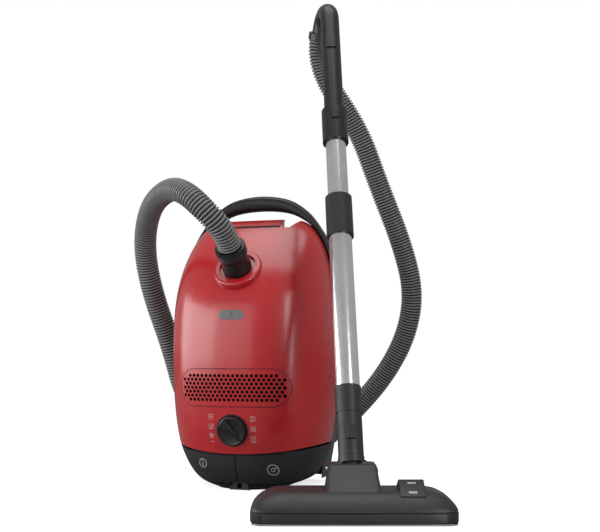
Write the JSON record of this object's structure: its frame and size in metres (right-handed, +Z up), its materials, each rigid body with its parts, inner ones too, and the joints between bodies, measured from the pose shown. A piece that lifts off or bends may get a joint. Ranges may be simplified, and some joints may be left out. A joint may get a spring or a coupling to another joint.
{
  "type": "canister vacuum cleaner",
  "caption": "Bagged canister vacuum cleaner parked upright, with corrugated hose, telescopic wand and floorhead.",
  "frame": {"origin": "middle of the rear end face that the canister stands on", "axes": "+Z up along the canister towards its carry handle, -Y out of the red cover, +X to the right seen from the front"},
  "size_m": [0.6326, 0.7192, 0.8548],
  "materials": {
    "red_cover": "glossy",
    "black_plastic": "satin",
    "grey_housing": "satin",
    "dark_plastic": "satin",
    "hose_plastic": "satin",
    "chrome_tube": "polished",
    "steel": "satin",
    "rubber": "matte",
    "paper_bag": "matte",
    "filter_foam": "matte",
    "copper_motor": "satin",
    "board_green": "satin",
    "smoked_window": "clear",
    "bristle": "matte"
  },
  "bodies": {
    "canister": {"bag_collar": "dark_plastic", "bulkhead": "dark_plastic", "carry_handle": "black_plastic", "connector_tube": "dark_plastic", "control_board": "board_green", "cord_outlet": "dark_plastic", "dust_bag": "paper_bag", "exhaust_filter": "filter_foam", "fan_housing": "dark_plastic", "hose_front": "hose_plastic", "hose_rear": "hose_plastic", "housing_screws": "steel", "lower_coupling": "dark_plastic", "lower_housing": "grey_housing", "lower_tube": "chrome_tube", "motor_cradle": "dark_plastic", "motor_housing": "steel", "motor_mount": "rubber", "motor_stator": "copper_motor", "pre_motor_filter": "filter_foam", "rear_bumper": "dark_plastic", "rear_wheel_axles": "steel", "reel_axle": "steel"},
    "cover": {"top_cover": "red_cover", "exhaust_grille": "red_cover", "port_seal": "rubber", "indicator_window": "smoked_window", "dial_bezel": "black_plastic", "lid_hinge_pin": "steel"},
    "latch": {"release_latch": "red_cover"},
    "cuff": {"hose_cuff": "black_plastic"},
    "flag": {"indicator_flag": "rubber"},
    "dial": {"power_dial": "black_plastic"},
    "power_key": {"power_pedal": "dark_plastic"},
    "rewind_key": {"rewind_pedal": "dark_plastic"},
    "left_wheel": {"left_rear_wheel": "rubber"},
    "right_wheel": {"right_rear_wheel": "rubber"},
    "castor": {"castor_fork": "dark_plastic"},
    "castor_roll": {"castor_wheel": "rubber"},
    "rotor": {"motor_rotor": "steel", "fan_impeller": "dark_plastic"},
    "reel": {"reel_drum": "dark_plastic", "wound_cable": "rubber"},
    "sleeve": {"telescope_sleeve": "dark_plastic"},
    "wand_upper": {"upper_tube": "chrome_tube", "handle_socket": "black_plastic", "handle_grip": "black_plastic", "hose_collar": "black_plastic"},
    "handle_key": {"handle_button": "black_plastic"},
    "air_valve": {"air_slide": "black_plastic"},
    "connector_key": {"connector_button": "dark_plastic"},
    "neck": {"swivel_neck": "dark_plastic"},
    "head": {"floorhead_cover": "dark_plastic", "tilt_pin": "steel", "sole_plate": "steel", "roller_pins": "steel"},
    "rocker": {"rocker_pedal": "dark_plastic"},
    "brushes": {"brush_strips": "bristle"},
    "left_floor_roller": {"left_roller": "rubber"},
    "right_floor_roller": {"right_roller": "rubber"}
  },
  "joints": [
    {"name": "cover_hinge", "type": "hinge", "parent": "canister", "child": "cover", "pos_m": [0, -0.101, 0.064], "axis": [1, 0, 0], "range_deg": [0, 60], "deforming": ["hose_front"]},
    {"name": "latch_press", "type": "slide", "parent": "cover", "child": "latch", "axis": [0, 0, -1], "range_m": [0, 0.0035], "stiffness_N_per_m": 600},
    {"name": "cuff_swivel", "type": "hinge", "parent": "cover", "child": "cuff", "pos_m": [0, -0.092, 0.368], "axis": [0, -0.7502, 0.6612], "continuous": true},
    {"name": "bag_indicator", "type": "slide", "parent": "cover", "child": "flag", "axis": [1, 0, 0], "range_m": [0, 0.016]},
    {"name": "dial_turn", "type": "hinge", "parent": "cover", "child": "dial", "pos_m": [0, -0.1165, 0.101], "axis": [0, -0.9798, -0.2], "range_deg": [-180, 90]},
    {"name": "power_press", "type": "slide", "parent": "canister", "child": "power_key", "axis": [0, 1, 0], "range_m": [0, 0.004], "stiffness_N_per_m": 1500},
    {"name": "rewind_press", "type": "slide", "parent": "canister", "child": "rewind_key", "axis": [0, 1, 0], "range_m": [0, 0.004], "stiffness_N_per_m": 1500},
    {"name": "left_wheel_spin", "type": "hinge", "parent": "canister", "child": "left_wheel", "pos_m": [0, 0.068, 0.066], "axis": [1, 0, 0], "continuous": true},
    {"name": "right_wheel_spin", "type": "hinge", "parent": "canister", "child": "right_wheel", "pos_m": [0, 0.068, 0.066], "axis": [1, 0, 0], "continuous": true},
    {"name": "castor_swivel", "type": "hinge", "parent": "canister", "child": "castor", "pos_m": [0, 0.09, 0.392], "axis": [0, 1, 0], "continuous": true},
    {"name": "castor_spin", "type": "hinge", "parent": "castor", "child": "castor_roll", "pos_m": [0, 0.111, 0.384], "axis": [1, 0, 0], "continuous": true},
    {"name": "motor_spin", "type": "hinge", "parent": "canister", "child": "rotor", "pos_m": [0.05, -0.028, 0.1], "axis": [0, 0, 1], "continuous": true},
    {"name": "reel_turn", "type": "hinge", "parent": "canister", "child": "reel", "pos_m": [0, 0.05, 0.112], "axis": [0, 1, 0], "continuous": true},
    {"name": "sleeve_release", "type": "slide", "parent": "canister", "child": "sleeve", "axis": [-0.1335, 0.3509, 0.9268], "range_m": [0, 0.006], "stiffness_N_per_m": 600},
    {"name": "telescope", "type": "slide", "parent": "canister", "child": "wand_upper", "axis": [-0.1335, 0.3509, 0.9268], "range_m": [0, 0.26], "deforming": ["hose_rear"]},
    {"name": "handle_press", "type": "slide", "parent": "wand_upper", "child": "handle_key", "axis": [-0.2711, 0.8866, -0.3747], "range_m": [0, 0.0025], "stiffness_N_per_m": 400},
    {"name": "air_valve_slide", "type": "slide", "parent": "wand_upper", "child": "air_valve", "axis": [0.1335, -0.3509, -0.9268], "range_m": [0, 0.012]},
    {"name": "connector_press", "type": "slide", "parent": "canister", "child": "connector_key", "axis": [-0.2711, 0.8866, -0.3747], "range_m": [0, 0.0025], "stiffness_N_per_m": 400},
    {"name": "neck_swivel", "type": "hinge", "parent": "canister", "child": "neck", "pos_m": [0.244, -0.283, 0.065], "axis": [-0.1335, 0.3509, 0.9268], "range_deg": [-35, 35]},
    {"name": "head_tilt", "type": "hinge", "parent": "neck", "child": "head", "pos_m": [0.244, -0.283, 0.065], "axis": [0.9563, 0.2924, 0], "range_deg": [-20, 45]},
    {"name": "rocker_toggle", "type": "hinge", "parent": "head", "child": "rocker", "pos_m": [0.25248, -0.31073, 0.037], "axis": [0.9563, 0.2924, 0], "range_deg": [0, 8]},
    {"name": "brush_drop", "type": "slide", "parent": "head", "child": "brushes", "axis": [0, 0, 1], "range_m": [0, 0.003]},
    {"name": "left_roller_spin", "type": "hinge", "parent": "head", "child": "left_floor_roller", "pos_m": [0.24108, -0.27344, 0.005], "axis": [0.9563, 0.2924, 0], "continuous": true},
    {"name": "right_roller_spin", "type": "hinge", "parent": "head", "child": "right_floor_roller", "pos_m": [0.24108, -0.27344, 0.005], "axis": [0.9563, 0.2924, 0], "continuous": true}
  ],
  "couplings": [
    {"joint": "brush_drop", "follows": "rocker_toggle", "m_per_rad": 0.021464}
  ]
}
